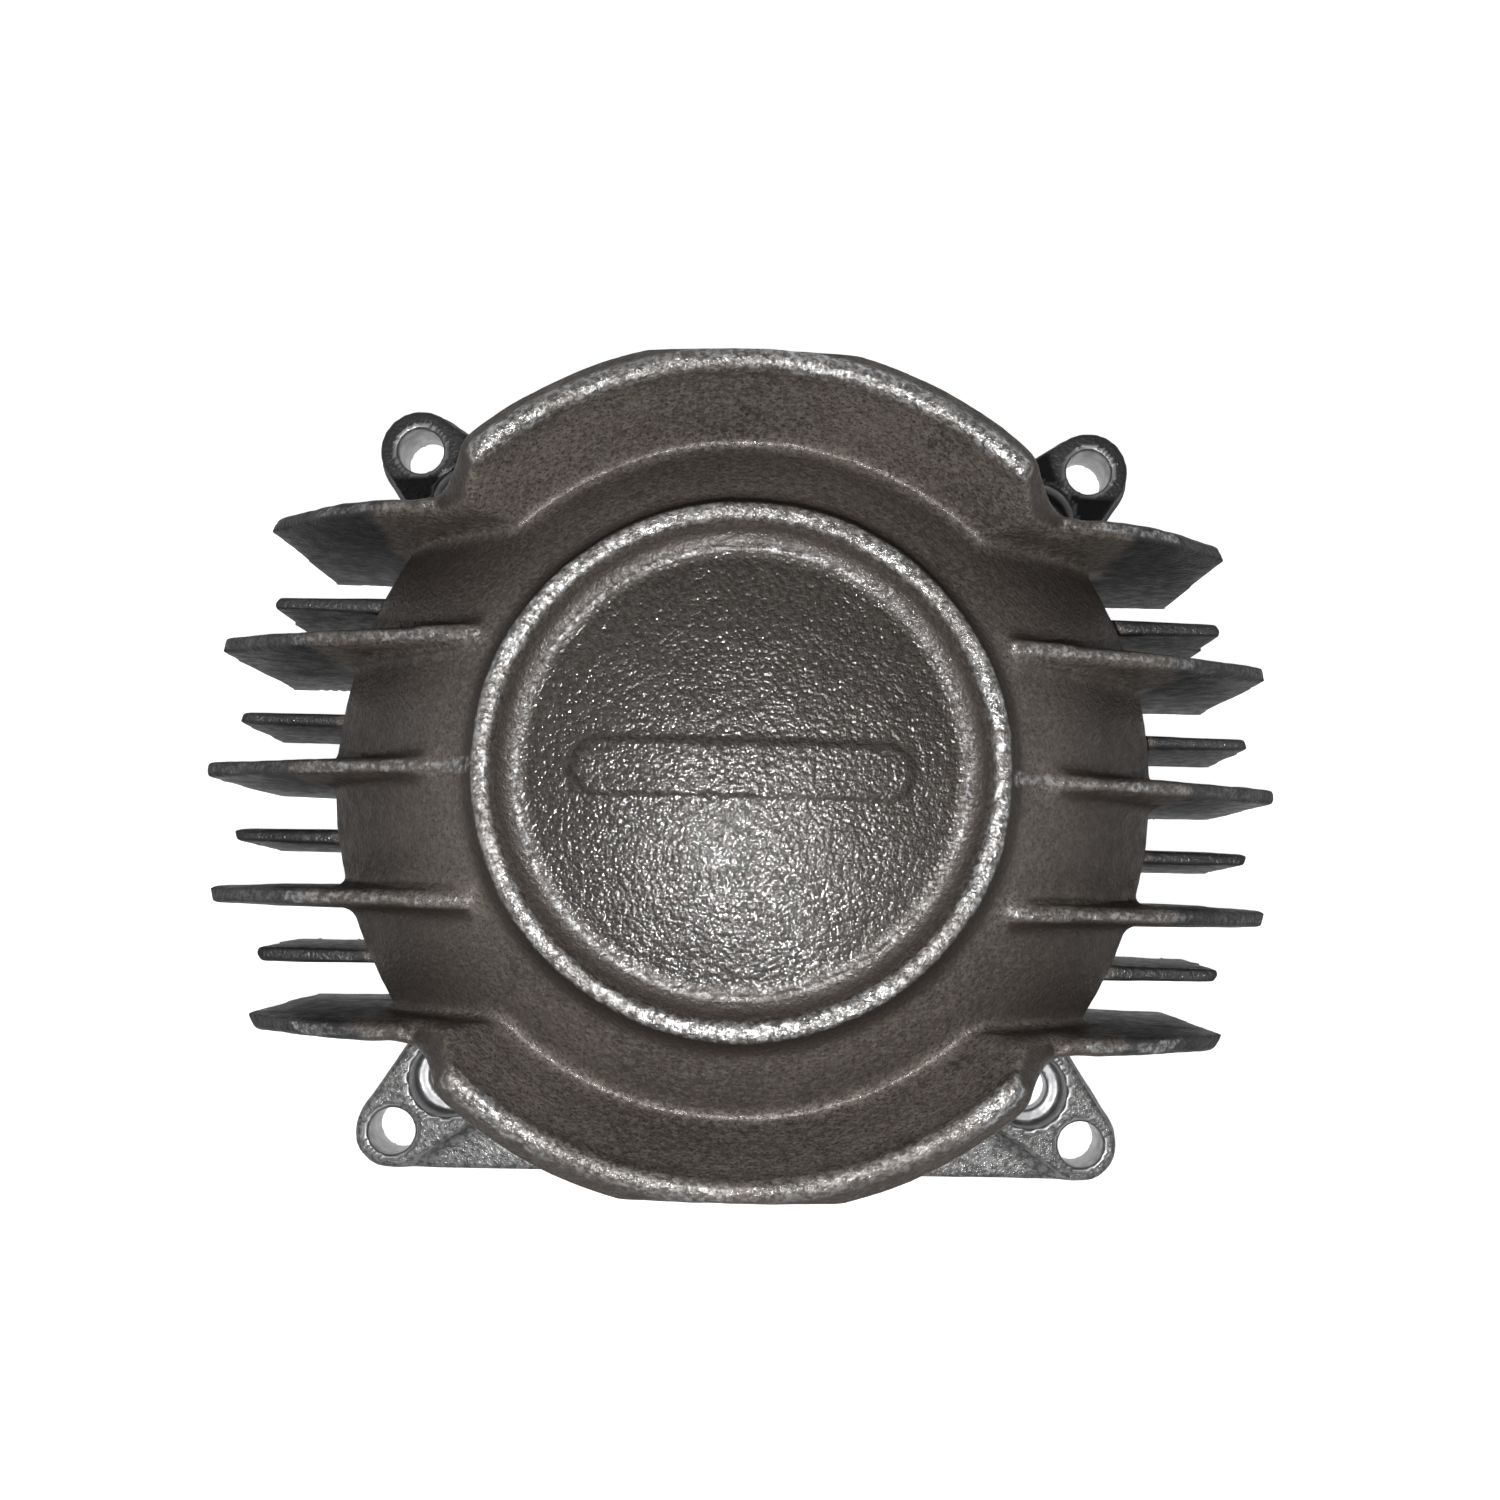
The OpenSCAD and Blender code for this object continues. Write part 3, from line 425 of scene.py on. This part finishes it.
def cast_material():
    """Dark cast skin: a matt base under a thin glossy film that catches small hard glints."""
    n = Nodes("cast_aluminium")
    b = n.bsdf
    cast = n.attribute("cast")
    fins = n.attribute("fins")
    flange = n.attribute("flange")
    bead = n.attribute("bead")
    disc = n.attribute("disc")
    inner = n.attribute("inner")
    up = n.attribute("up")
    shade = n.attribute("shade")
    blotch = n.noise(BLOTCH_SCALE, 5, 0.6)
    stain = n.map(n.noise(STAIN_SCALE, 6, 0.65), 0.52, 0.72)
    fine = n.noise(FINE_SCALE, 3, 0.6)
    brown = n.mix(n.map(blotch, 0.35, 0.65), BROWN_DARK, BROWN_LIGHT)
    brown = n.mix(stain, brown, BROWN_STAIN)
    # Light flecks: partly real sand grain, partly painted glints.
    brown = n.mix(n.map(fine, 0.42, 0.62, 0.0, 0.6), brown, BROWN_GRAIN_GLINT)
    pits = n.map(n.noise(PIT_SCALE, 2, 0.6), 0.50, 0.66)
    brown = n.mix(n.math("MULTIPLY", pits, 0.75), brown, BROWN_PIT)
    # Painted shade: darker on steep outward faces and across the ring's inner wall.
    brown = n.mix(n.math("MULTIPLY", shade, 0.85), brown, BROWN_PAINTED_SHADE)
    slate = n.mix(n.map(blotch, 0.35, 0.65), SLATE_DARK, SLATE_LIGHT)
    slate = n.mix(stain, slate, SLATE_STAIN)
    silver = n.mix(n.map(fine, 0.4, 0.6), SILVER_DARK, SILVER_LIGHT)
    silver = n.mix(n.math("MULTIPLY", stain, 0.75), silver, SILVER_STAIN)
    bright = n.mix(n.map(fine, 0.4, 0.6), WORN_GLINT_DARK, WORN_GLINT_LIGHT)
    peel = n.noise(PEEL_SCALE, 2, 0.5)
    # The disc is darker in the low spots of the orange peel: painted shade in the dimples.
    plate = n.mix(n.map(peel, 0.38, 0.60), DISC_DARK, DISC_LIGHT)
    plate = n.mix(n.math("MULTIPLY", stain, 0.5), plate, DISC_DARK)
    # The fins attribute also covers the +Y ears, where the darker colour is painted shade.
    col = n.mix(fins, brown, slate)
    col = n.mix(disc, col, plate)
    col = n.mix(flange, col, silver)
    patch = n.map(n.noise(55.0, 2, 0.5), 0.40, 0.56, 0.45, 1.0)
    # Bright metal on the crests is partly real wear and partly a painted highlight along the ring, rim,
    # rib crowns and disc fillet.
    worn_and_glint = n.math("MULTIPLY", bead, n.map(n.noise(800.0, 3, 0.5), 0.30, 0.62))
    worn_and_glint = n.math("MULTIPLY", worn_and_glint, patch)
    col = n.mix(n.math("MULTIPLY", worn_and_glint, 0.8), col, bright)
    col = n.mix(inner, col, silver)
    col = n.mix(cast, MACHINED, col)
    n.link(col, b.inputs["Base Color"])
    shine = n.math("MAXIMUM", n.math("MULTIPLY", worn_and_glint, 0.8), n.math("MULTIPLY", flange, 0.35))
    skin_metal = n.map(shine, 0, 1, *SKIN_METAL, False)
    skin_metal = n.math("SUBTRACT", skin_metal, n.math("MULTIPLY", disc, 0.25))
    metal = n.math("MAXIMUM", n.math("SUBTRACT", 1.0, cast), skin_metal, True)
    n.link(metal, b.inputs["Metallic"])
    rough = n.map(n.noise(420.0, 3, 0.6), 0.3, 0.7, 0.44, 0.60)
    rough = n.math("SUBTRACT", rough, n.math("MULTIPLY", worn_and_glint, 0.22))
    n.link(rough, b.inputs["Roughness"])
    film = n.math("MAXIMUM", n.math("MULTIPLY", disc, 0.95), bead)
    film = n.math("MAXIMUM", film, n.math("MULTIPLY", flange, 0.15))
    n.link(n.math("MULTIPLY", n.map(film, 0, 1, 0.25, 1.0, False), up), b.inputs["Coat Weight"])
    b.inputs["Coat Roughness"].default_value = COAT_ROUGHNESS
    level = n.map(up, 0, 1, 0.06, 0.4, False)
    level = n.math("SUBTRACT", level, n.math("MULTIPLY", disc, 0.32), True)
    n.link(level, b.inputs["Specular IOR Level"])
    # orange peel on the disc, sand grain elsewhere
    grain = n.noise(1500.0, 3, 0.6)
    sand = n.noise(620.0, 3, 0.6)
    rough_h = n.math("ADD", n.math("MULTIPLY", grain, 0.55), n.math("MULTIPLY", sand, 0.55))
    peel = n.math("MULTIPLY", peel, n.map(disc, 0, 1, 0.9, 1.5, False))
    h = n.math("ADD", peel, n.math("MULTIPLY", rough_h, n.map(disc, 0, 1, 1.2, 0.12, False)))
    h = n.math("MULTIPLY", h, n.map(bead, 0, 1, 1.0, 1.6, False))
    h = n.math("MULTIPLY", h, n.map(cast, 0, 1, 0.06, 1.0, False))
    bump = n.bump(h, GRAIN_DEPTH, 0.95)
    n.link(bump, b.inputs["Normal"])
    n.link(bump, b.inputs["Coat Normal"])
    return n.mat


def simple_metal(name, colour, dark, rough, grain=700.0, depth=0.00006):
    """Dull metal with darker clouds and a fine grain."""
    n = Nodes(name)
    b = n.bsdf
    v = n.noise(160.0, 5, 0.6)
    n.link(n.mix(n.map(v, 0.35, 0.7), (*colour, 1), (*dark, 1)), b.inputs["Base Color"])
    b.inputs["Metallic"].default_value = 0.9
    n.link(n.map(n.noise(grain, 3, 0.6), 0.3, 0.7, rough - 0.07, rough + 0.1), b.inputs["Roughness"])
    n.link(n.bump(n.noise(grain * 2.5, 2, 0.5), depth, 0.8), b.inputs["Normal"])
    return n.mat


def turned_metal(name, colour, dark, rough, pitch=0.00035):
    """Concentric tool marks about the cylinder axis."""
    n = Nodes(name)
    b = n.bsdf
    sep = n.new("ShaderNodeSeparateXYZ")
    n.link(n.where, sep.inputs[0])
    squares = (n.math("POWER", sep.outputs[k], 2.0) for k in (0, 1))
    rad = n.math("SQRT", n.math("ADD", *squares))
    wob = n.math("MULTIPLY", n.noise(220.0, 2, 0.5), pitch * 0.6)
    saw = n.math("FRACT", n.math("DIVIDE", n.math("ADD", rad, wob), pitch))
    v = n.noise(120.0, 5, 0.6)
    n.link(n.mix(n.map(v, 0.35, 0.7), (*colour, 1), (*dark, 1)), b.inputs["Base Color"])
    b.inputs["Metallic"].default_value = 0.95
    n.link(n.map(n.noise(800.0, 3, 0.6), 0.3, 0.7, rough - 0.06, rough + 0.08), b.inputs["Roughness"])
    n.link(n.bump(saw, pitch * 0.12, 0.5), b.inputs["Normal"])
    return n.mat


def fibre_material():
    """Pressed gasket sheet."""
    n = Nodes("gasket_fibre")
    v = n.noise(900.0, 6, 0.7)
    fibre = n.mix(n.map(v, 0.3, 0.7), (0.16, 0.11, 0.07, 1), (0.30, 0.22, 0.14, 1))
    n.link(fibre, n.bsdf.inputs["Base Color"])
    n.bsdf.inputs["Roughness"].default_value = 0.85
    n.link(n.bump(v, 0.00008, 0.8), n.bsdf.inputs["Normal"])
    return n.mat


def rubber_material():
    """Black seal cord."""
    n = Nodes("seal_rubber")
    v = n.noise(500.0, 4, 0.6)
    n.link(n.mix(v, (0.012, 0.012, 0.012, 1), (0.03, 0.03, 0.03, 1)), n.bsdf.inputs["Base Color"])
    n.link(n.map(v, 0.3, 0.7, 0.45, 0.65), n.bsdf.inputs["Roughness"])
    n.link(n.bump(v, 0.00005, 0.6), n.bsdf.inputs["Normal"])
    return n.mat


def paint_head(obj, start, nn, free):
    """Point attributes that tell the cast material where it is."""
    x, y, z = start[:, 0], start[:, 1], start[:, 2]
    r = np.hypot(x, y)
    edge = 1.2 * noise(start, 5, 21)
    outer = ramp(r + edge, 76.5, 79.0) * (np.abs(y) < EAR_SIDE)
    web = ((z < FLANGE_TOP) & (y < -EAR_SIDE)).astype(float)
    # Painted shade: the +Y ears get the darker fin colour.
    ear = (z < FLANGE_TOP) & (y > EAR_SIDE)
    row = np.abs(((y / FIN_PITCH + 0.5) % 1.0) - 0.5) * FIN_PITCH
    rib = (row < 0.8 + 0.6 * noise(start, 3.0, 22)) & (np.abs(y) < 47) & (z > 30)
    top = np.sqrt(FIN_CROWN_RADIUS**2 - x**2) - FIN_CROWN_DEPTH
    crown = rib & (np.abs(x) > np.where(np.abs(y) > 33, 58, 44)) & (z > top - 1.2)
    # Crest masks for the bright crest colour: partly real wear, partly painted highlight.
    ring = np.exp(-(((r - RING_MID) / 1.7) ** 4)) * ramp(z, 72.6, 73.6)
    rimb = np.exp(-(((r - RIM_RADIUS - 0.3) / 2.2) ** 4)) * ramp(z, 73.6, 75.0)
    # The painted highlight on the rim is weaker along the middle of the -Y side.
    rimb *= 1 - 0.55 * ramp(-y, 40, 60) * (1 - ramp(np.abs(x), 28, 46))
    bead = np.maximum(ring, rimb)
    bead = np.maximum(bead, crown * np.where(np.abs(x) < 78, 0.6, 0.15))
    turret = z > 66
    disc = (1 - ramp(r, DISC_RADIUS - 1.0, DISC_RADIUS + 0.8)) * turret
    # Painted shade masks: the ring's inner wall band and the steep outward faces.
    ring_band_shade = ramp(r, DISC_RADIUS - 1.0, DISC_RADIUS + 0.8) * (1 - ramp(r, 39.4, 40.6)) * turret
    outward = (nn[:, 0] * x + nn[:, 1] * y) / np.maximum(r, 1.0)
    steep_shade = (1 - ramp(nn[:, 2], 0.62, 0.93)) * ramp(outward, 0.0, 0.3)
    # Painted highlight: a thin bright line along the disc's outer fillet.
    fillet_glint = np.exp(-(((r - DISC_RADIUS - 0.9) / 0.45) ** 4)) * turret
    bead = np.maximum(bead, 0.8 * fillet_glint)
    inner = ((z < 66) & (r < 65) & (z < cap_height(r) - 2.5)).astype(float)
    paint(obj, "cast", free)
    paint(obj, "fins", np.maximum(outer.astype(float), ear))
    paint(obj, "flange", web.astype(float))
    paint(obj, "bead", bead)
    paint(obj, "disc", disc)
    paint(obj, "inner", inner)
    paint(obj, "up", ramp(nn[:, 2], 0.62, 0.93))
    paint(obj, "shade", np.maximum(steep_shade, ring_band_shade))


def cap_height(r):
    """Height of the outer cap surface at radius r."""
    out = np.minimum(r, CAP_ARC - CAP_OFFSET) + CAP_OFFSET
    return CAP_CENTRE + np.sqrt(np.maximum(CAP_ARC**2 - out**2, 0.0))


def press(name):
    """A copy of a spring set, attached to the head in place of the original, which is hidden."""
    node = NODES[name]
    piece = bpy.data.objects.new(name + "_coils", node.data.copy())
    piece.matrix_world = node.matrix_world.copy()
    bpy.context.scene.collection.objects.link(piece)
    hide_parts(name)
    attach(piece, "head")
    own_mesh(piece)


# ---------------------------------------------------------------- build
make_camera()
make_world()
make_floor()
make_lights()

head = head_mesh()
p, start, nn, free = smooth_head(head)
rough_head(head, p, start, nn, free)
paint_head(head, start, nn, free)
head.data.materials.append(cast_material())
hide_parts("head_casting")
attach(head, "head")

# Colour where clean, colour where dull, roughness, then grain or tool mark pitch
STEEL = turned_metal("plate_steel", (0.50, 0.51, 0.53), (0.36, 0.36, 0.38), 0.28)
TURNED = turned_metal("turned_steel", (0.46, 0.46, 0.48), (0.30, 0.30, 0.31), 0.34, 0.0003)
SEAT = turned_metal("seat_iron", (0.24, 0.24, 0.245), (0.13, 0.125, 0.12), 0.42, 0.0005)
GUARD = simple_metal("guard_iron", (0.13, 0.13, 0.135), (0.06, 0.058, 0.055), 0.5, 600.0, 0.00012)
BOLT_MAT = simple_metal("bolt_steel", (0.10, 0.10, 0.105), (0.045, 0.043, 0.04), 0.4, 900.0)
SPRING = simple_metal("spring_steel", (0.42, 0.40, 0.36), (0.25, 0.23, 0.20), 0.3, 1500.0)
FIBRE = fibre_material()
RUBBER = rubber_material()

LOOK = {
    "valve_seat": SEAT,
    "discharge_plate": STEEL,
    "suction_plate": STEEL,
    "discharge_guard": GUARD,
    "suction_guard": GUARD,
    "discharge_springs": SPRING,
    "suction_springs": SPRING,
    "centre_bolt": BOLT_MAT,
    "castle_nut": BOLT_MAT,
    "seat_screws": BOLT_MAT,
    "seat_gasket": FIBRE,
    "divider_gasket": FIBRE,
    "face_seal": RUBBER,
}
for name, node in NODES.items():
    if name == "head_casting":
        continue
    mat = LOOK.get(name, TURNED)
    if not node.data.materials:
        node.data.materials.append(mat)
    for k in range(len(node.material_slots)):
        node.material_slots[k].material = mat

press("discharge_springs")
press("suction_springs")
